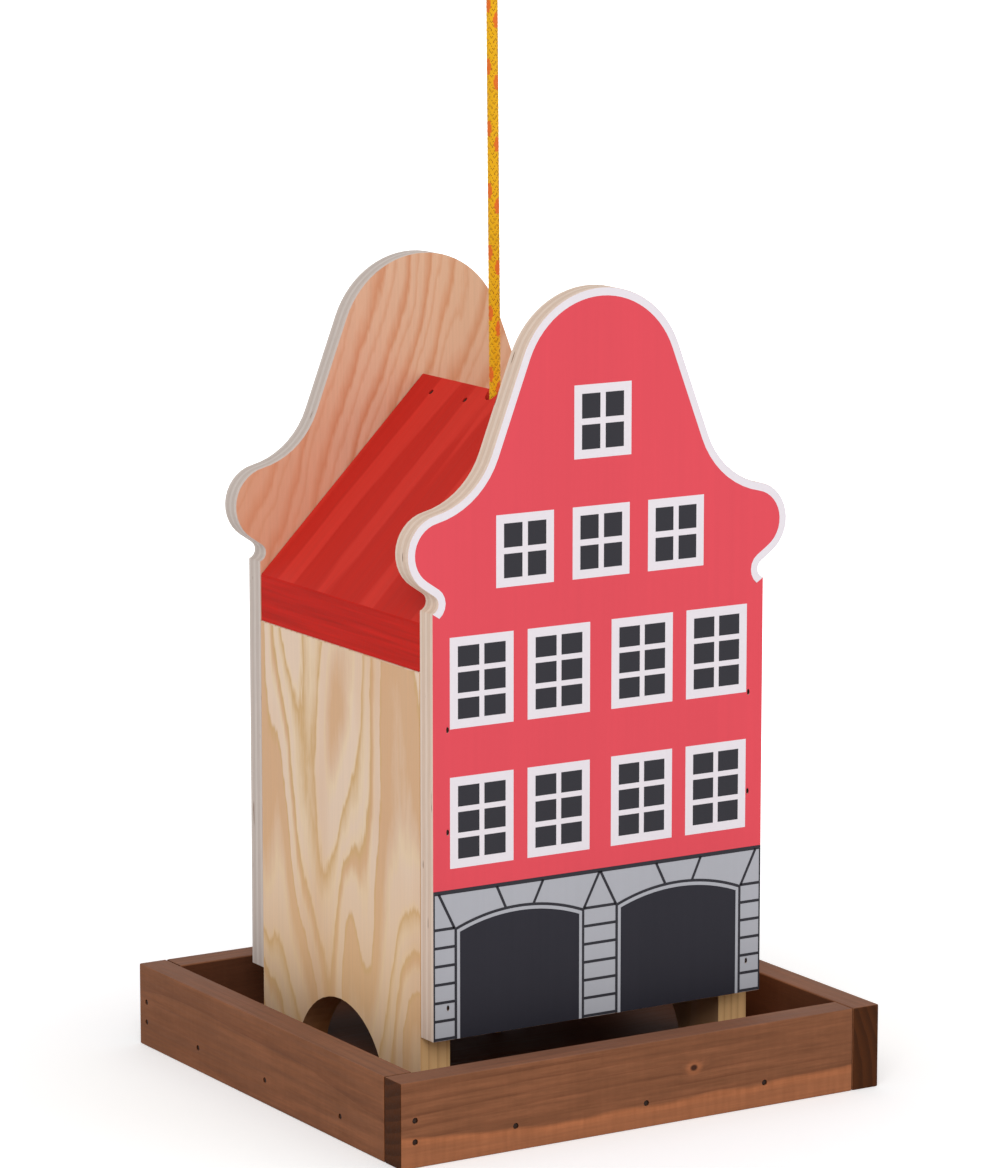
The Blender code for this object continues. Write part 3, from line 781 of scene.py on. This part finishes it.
def braid_height(turns, marks, settings):
    """How far each point of the braid stands up, and whether the marker strand lies on top there.

    The strands wind both ways, and each goes over two and under two."""
    turns, lengths = turns[None, :], marks[:, None] / settings.pitch
    rising = settings.strands * (turns + lengths)
    falling = settings.strands * (turns - lengths)
    rising_on_top = np.mod(np.floor(rising) + np.floor(falling), 4) < 2
    across = np.where(rising_on_top, np.mod(rising, 1.0), np.mod(falling, 1.0))
    float_rising = np.mod(np.floor(rising) + falling, 4.0) / 2.0
    float_falling = np.mod(np.floor(falling) + rising, 4.0) / 2.0 - 1.0
    float_share = np.where(rising_on_top, float_rising, float_falling)
    crown = 1.0 - (2.0 * across - 1.0) ** 2
    height = crown * (0.35 + 0.65 * np.sin(np.pi * float_share))

    # The marker surfaces four times in a turn, as long flecks.
    quarters = 4 * lengths + settings.marker_start
    nearest = np.round(quarters)
    aside = np.mod(turns + nearest / 4 - settings.marker_turn + 0.5, 1.0) - 0.5
    marker = (aside / 0.085) ** 2 + ((quarters - nearest) / 0.56) ** 2 < 1.0
    return height, marker


def braided_line(name, points, radius, settings, materials):
    """A braided line along a route, as one tube with closed ends."""
    path, marks = even_path(points, settings.ring_step)
    sides, ups = line_frames(path)
    turns = np.arange(settings.around) / settings.around
    height, marker = braid_height(turns, marks, settings)
    reach = radius * (0.90 + 0.15 * height)
    shades = np.where(marker, 2, np.where(height < 0.22, 1, 0))
    angle = 2 * np.pi * turns[None, :, None]
    outwards = np.cos(angle) * sides[:, None, :] + np.sin(angle) * ups[:, None, :]
    spots = path[:, None, :] + reach[:, :, None] * outwards
    rings, around = height.shape
    vertices = spots.reshape(-1, 3).tolist()
    faces = []
    for here in range(0, (rings - 1) * around, around):
        for j in range(around):
            beside = here + (j + 1) % around
            faces.append((here + j, beside, beside + around, here + j + around))
    tones = shades[:-1].ravel().tolist() + [0] * (2 * around)
    for ring in (0, rings - 1):
        centre = len(vertices)
        vertices.append(path[ring].tolist())
        for j in range(around):
            pair = (ring * around + j, ring * around + (j + 1) % around)
            faces.append((*(pair if ring else pair[::-1]), centre))
    mesh = bpy.data.meshes.new(name)
    mesh.from_pydata(vertices, [], faces)
    for material in materials:
        mesh.materials.append(material)
    mesh.polygons.foreach_set("material_index", tones)
    mesh.shade_smooth()
    return add_piece(name, mesh)


def knot_route(box, line_radius):
    """A pulled-tight overhand knot that fills a box, as a route that ends where it starts."""
    low, high = box
    middle = (low + high) / 2
    spread = ((high.x - low.x) / 2 - line_radius) / 3.0
    rise = (high.z - low.z) / 2 - line_radius
    route = []
    for i in range(121):
        turn = 2 * pi * i / 120
        route.append((middle.x + spread * (sin(turn) + 2 * sin(2 * turn)),
                      middle.y + spread * (cos(turn) - 2 * cos(2 * turn)),
                      middle.z - rise * sin(3 * turn)))
    return route


def loop_route(rope_diameter):
    """Out of the knot's foot, up one side, over a round head and back down into the knot."""
    head_radius = (LOOP_HIGH.x - LOOP_LOW.x - rope_diameter) / 2
    foot = LOOP_LOW.z
    head = LOOP_HIGH.z - rope_diameter / 2 - head_radius
    strand = 0.55 * rope_diameter
    knot_foot = LOOP_KNOT[0].z
    rising = []
    for i in range(4):
        share = i / 4
        rising.append((strand * (0.2 + 0.8 * share), ROPE_Y, knot_foot + (foot - knot_foot) * share))
    for i in range(12):
        share = i / 12
        eased = share * share * (3 - 2 * share)
        across = strand + (head_radius - strand) * eased
        rising.append((across, ROPE_Y, foot + (head - foot) * share))
    top = [(head_radius * cos(pi * i / 20), ROPE_Y, head + head_radius * sin(pi * i / 20))
           for i in range(21)]
    falling = [(-x, y, z) for x, y, z in reversed(rising)]
    return [(x + ROPE_ASIDE, y, z) for x, y, z in rising + top + falling]


# Operators

class FEEDER_OT_stage(bpy.types.Operator):
    """Set up the camera, soft lamps and a pale floor"""

    bl_idname = "feeder.stage"
    bl_label = "Stage"

    def execute(self, context):
        scene = context.scene
        settings = scene.feeder_stage
        scene.view_settings.view_transform = "Standard"
        lens = bpy.data.cameras.new("camera")
        lens.sensor_fit = "HORIZONTAL"
        lens.sensor_width = 36.0
        lens.lens = settings.lens
        lens.clip_end = 200.0
        scene.camera = self.aim(scene, lens, settings.camera_place, settings.camera_target)
        for name, place, power in (("key lamp", settings.key_place, settings.key_power),
                                   ("fill lamp", settings.fill_place, settings.fill_power)):
            lamp = bpy.data.lights.new(name, "AREA")
            lamp.size = settings.lamp_size
            lamp.energy = power
            self.aim(scene, lamp, place, settings.lamp_target)
        self.add_floor(scene, settings)
        self.add_sky(scene, settings)
        return {"FINISHED"}

    def aim(self, scene, data, place, target):
        """Put a camera or a lamp in its place, facing a point."""
        shown = bpy.data.objects.new(data.name, data)
        shown.location = place
        shown.rotation_euler = (Vector(target) - Vector(place)).to_track_quat("-Z", "Y").to_euler()
        scene.collection.objects.link(shown)
        return shown

    def add_floor(self, scene, settings):
        """A floor that is white to the camera a little way off and keeps a faint shadow close by."""
        ground = Finish("floor")
        grit = ground.noise(ground.place, (6.0, 6.0, 6.0))
        ground.feed("Base Color", ground.tint(settings.floor_colour, grit, 0.995, 1.005))
        ground.shader.inputs["Roughness"].default_value = 0.9
        far = ground.vector("LENGTH", ground.place)
        lift = ground.spread(far, 0.12, 0.60, 0.30, 1.0, "SMOOTHSTEP")
        strength = ground.maths("MULTIPLY", ground.background_rays(), lift)
        glow = ground.node("Emission", {"Color": (*WHITE, 1.0), "Strength": strength})
        both = ground.node("AddShader", {0: ground.shader.outputs[0], 1: glow.outputs[0]})
        out = ground.tree.nodes["Material Output"]
        ground.tree.links.new(both.outputs[0], out.inputs["Surface"])
        reach = settings.floor_reach
        mesh = bpy.data.meshes.new("floor")
        corners = box_loop(-reach, reach, -reach, reach)
        mesh.from_pydata([(x, y, 0.0) for x, y in corners], [], [(0, 1, 2, 3)])
        mesh.materials.append(ground.material)
        floor = bpy.data.objects.new("floor", mesh)
        scene.collection.objects.link(floor)

    def add_sky(self, scene, settings):
        """Even light from all round, which shows as plain white."""
        world = bpy.data.worlds.new("sky")
        world.use_nodes = True
        scene.world = world
        air = NodeMaker(world.node_tree)
        level = air.spread(air.background_rays(), 0.0, 1.0, settings.sky, 1.0)
        light = air.tree.nodes["Background"]
        light.inputs["Color"].default_value = (*WHITE, 1.0)
        air.tree.links.new(level, light.inputs["Strength"])


class FEEDER_OT_rope(bpy.types.Operator):
    """Braid the hanging rope, its two knots and its loop"""

    bl_idname = "feeder.rope"
    bl_label = "Rope"

    def execute(self, context):
        settings = context.scene.feeder_rope
        materials = [rope_finish("yellow strands", settings.yellow),
                     rope_finish("shaded strands", settings.shade),
                     rope_finish("orange strand", settings.orange)]
        radius = settings.swell * settings.diameter / 2
        low_radius, high_radius = settings.stop_knot_radius, settings.loop_knot_radius
        steps = 32
        climb = (ROPE_HIGH.z - RIDGE) / steps
        route = [(0.0, ROPE_Y, ROPE_LOW.z)]
        route += [(ROPE_ASIDE * i / steps, ROPE_Y, RIDGE + climb * i) for i in range(steps + 1)]
        lines = [
            ("braided_rope", "hanging_rope", route, radius),
            ("braided_stop_knot", "rope_stop_knot", knot_route(STOP_KNOT, low_radius), low_radius),
            ("braided_loop_knot", "rope_loop_knot", knot_route(LOOP_KNOT, high_radius), high_radius),
            ("braided_loop", "rope_loop", loop_route(settings.diameter), radius),
        ]
        for name, solid, path, half_width in lines:
            braided_line(name, path, half_width, settings, materials)
            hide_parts(solid)
        return {"FINISHED"}


class FEEDER_OT_tray(bpy.types.Operator):
    """Stain the tray boards and the tray floor"""

    bl_idname = "feeder.tray"
    bl_label = "Tray"

    def execute(self, context):
        settings = context.scene.feeder_timber
        knot = (0.0215, FRONT_BOARD_LOW.y, 0.0202)
        for node, *grain in (
                ("tray_front_board", "front board", X, Z, (0.085, 0.080), 0.0, knot),
                ("tray_back_board", "back board", X, Z, (0.050, 0.070), 11.0),
                ("tray_left_board", "left board", Y, Z, (0.046, 0.076), 23.0),
                ("tray_right_board", "right board", Y, Z, (-0.020, -0.080), 37.0),
                ("tray_floor", "floor panel", X, Y, (0.02, 0.05), 41.0)):
            dress(node, stained_finish(settings, *grain))
        return {"FINISHED"}


class FEEDER_OT_walls(bpy.types.Operator):
    """Finish the two pine side walls"""

    bl_idname = "feeder.walls"
    bl_label = "Walls"

    def execute(self, context):
        settings = context.scene.feeder_timber
        dress("left_wall", wall_finish(settings, "left wall pine", 0.0))
        dress("right_wall", wall_finish(settings, "right wall pine", 7.3))
        return {"FINISHED"}


class FEEDER_OT_gables(bpy.types.Operator):
    """Finish the plywood gable panels"""

    bl_idname = "feeder.gables"
    bl_label = "Gable panels"

    def execute(self, context):
        settings = context.scene.feeder_timber
        fresh = (settings.ply_pale, settings.ply_dark)
        weathered = (settings.grey_ply_pale, settings.grey_ply_dark)
        dress("front_facade", gable_finish(settings, "front gable plywood", fresh, 0.0))
        dress("back_facade", gable_finish(settings, "back gable plywood", weathered, 9.1))
        return {"FINISHED"}


class FEEDER_OT_print(bpy.types.Operator):
    """Print the house front on both gable panels"""

    bl_idname = "feeder.print"
    bl_label = "Printed fronts"

    def execute(self, context):
        settings = context.scene.feeder_print
        inks = {}
        for name, *surface in (("red", 0.42, 0.03), ("white", 0.45, 0.015), ("pane", 0.36, 0.03),
                               ("stone", 0.45, 0.03), ("line", 0.42, 0.02), ("door", 0.38, 0.06)):
            inks[name] = print_finish(name + " ink", getattr(settings, name), *surface)
        for name, side in (("front", -1), ("back", 1)):
            self.print_front(name, side, settings, inks)
        return {"FINISHED"}

    def print_front(self, name, side, settings, inks):
        node = name + "_facade"
        low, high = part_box(node)
        level = -low.y if side < 0 else high.y
        foot, stone_top = low.z, settings.stone_top
        outline = flat_outline(node, side * level)
        half = max(x for x, z in outline if z < stone_top)
        bottom = min(z for x, z in outline)
        above = sum(z > stone_top for x, z in outline)
        start = next(i for i, point in enumerate(outline) if point[1] > stone_top >= outline[i - 1][1])
        inner = inset(outline, settings.border)
        gable, inner = ((loop[start:] + loop[:start])[:above] for loop in (outline, inner))
        red = gable + [(-half, stone_top), (half, stone_top)]
        stone = box_loop(-half, half, bottom, stone_top)

        holes, stone_holes = [], []
        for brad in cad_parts:
            if brad.startswith((f"{name}_left_brad", f"{name}_right_brad")):
                middle = sum(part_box(brad), Vector()) / 2
                up = middle.z - foot
                hole = oval_loop(-side * middle.x, up, *BRAD_HOLE)
                (holes if up > stone_top else stone_holes).append(hole)
        frames = [[box_loop(*span, *heights)] for spans, heights, _ in WINDOW_ROWS for span in spans]
        panes = [[pane] for spans, heights, glazing in WINDOW_ROWS for span in spans
                 for pane in panes_in(span, heights, *glazing)]
        arches, rims, leaves = ([[arched_loop(middle, *arch, bottom)] for middle in DOORS]
                                for arch in DOOR_ARCHES)
        layers = [
            ("red_front", [[red] + holes], 0, "red"),
            ("stonework", [[stone] + stone_holes], 0, "stone"),
            ("gable_border", [[gable + inner[::-1]]], 1, "white"),
            ("window_frames", frames, 1, "white"),
            ("joint_lines", stonework_lines(half, bottom, settings.joint), 1, "line"),
            ("door_outlines", arches, 2, "line"),
            ("window_panes", panes, 2, "pane"),
            ("door_rims", rims, 3, "stone"),
            ("doors", leaves, 4, "door"),
        ]
        for layer, shapes, below, ink in layers:
            begin = level + below * settings.film
            printed_layer(f"{name}_{layer}", shapes, begin, begin + settings.film, foot, side, inks[ink])


class FEEDER_OT_roof(bpy.types.Operator):
    """Stain the two roof boards red"""

    bl_idname = "feeder.roof"
    bl_label = "Roof"

    def execute(self, context):
        settings = context.scene.feeder_timber
        dress("roof_left_board", roof_finish(settings, "left roof stain", -1, 0.0))
        dress("roof_right_board", roof_finish(settings, "right roof stain", 1, 13.0))
        return {"FINISHED"}


class FEEDER_OT_brads(bpy.types.Operator):
    """Dull the heads of the sunk brads"""

    bl_idname = "feeder.brads"
    bl_label = "Brads"

    def execute(self, context):
        settings = context.scene.feeder_brads
        steel = steel_finish("brad steel", settings.steel, settings.rust)
        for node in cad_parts:
            if "_brad_" in node:
                dress(node, steel)
        return {"FINISHED"}


class FEEDER_PT_panel(bpy.types.Panel):
    """The feeder's steps, in the order that main calls them"""

    bl_idname = "FEEDER_PT_panel"
    bl_label = "Bird Feeder"
    bl_space_type = "VIEW_3D"
    bl_region_type = "UI"
    bl_category = "Bird Feeder"

    def draw(self, context):
        for step in STEPS:
            self.layout.operator(step.bl_idname)


STEPS = (FEEDER_OT_stage, FEEDER_OT_rope, FEEDER_OT_tray, FEEDER_OT_walls, FEEDER_OT_gables,
         FEEDER_OT_print, FEEDER_OT_roof, FEEDER_OT_brads)
GROUPS = {"feeder_stage": StageSettings, "feeder_timber": TimberSettings,
          "feeder_print": PrintSettings, "feeder_rope": RopeSettings, "feeder_brads": BradSettings}


def register():
    for kind in (*GROUPS.values(), *STEPS, FEEDER_PT_panel):
        bpy.utils.register_class(kind)
    for name, group in GROUPS.items():
        setattr(bpy.types.Scene, name, PointerProperty(type=group))


def unregister():
    for name in GROUPS:
        delattr(bpy.types.Scene, name)
    for kind in (FEEDER_PT_panel, *reversed(STEPS), *reversed(GROUPS.values())):
        bpy.utils.unregister_class(kind)


def main():
    register()
    for step in STEPS:
        getattr(bpy.ops.feeder, step.bl_idname.split(".")[1])()


if __name__ == "__main__":
    main()
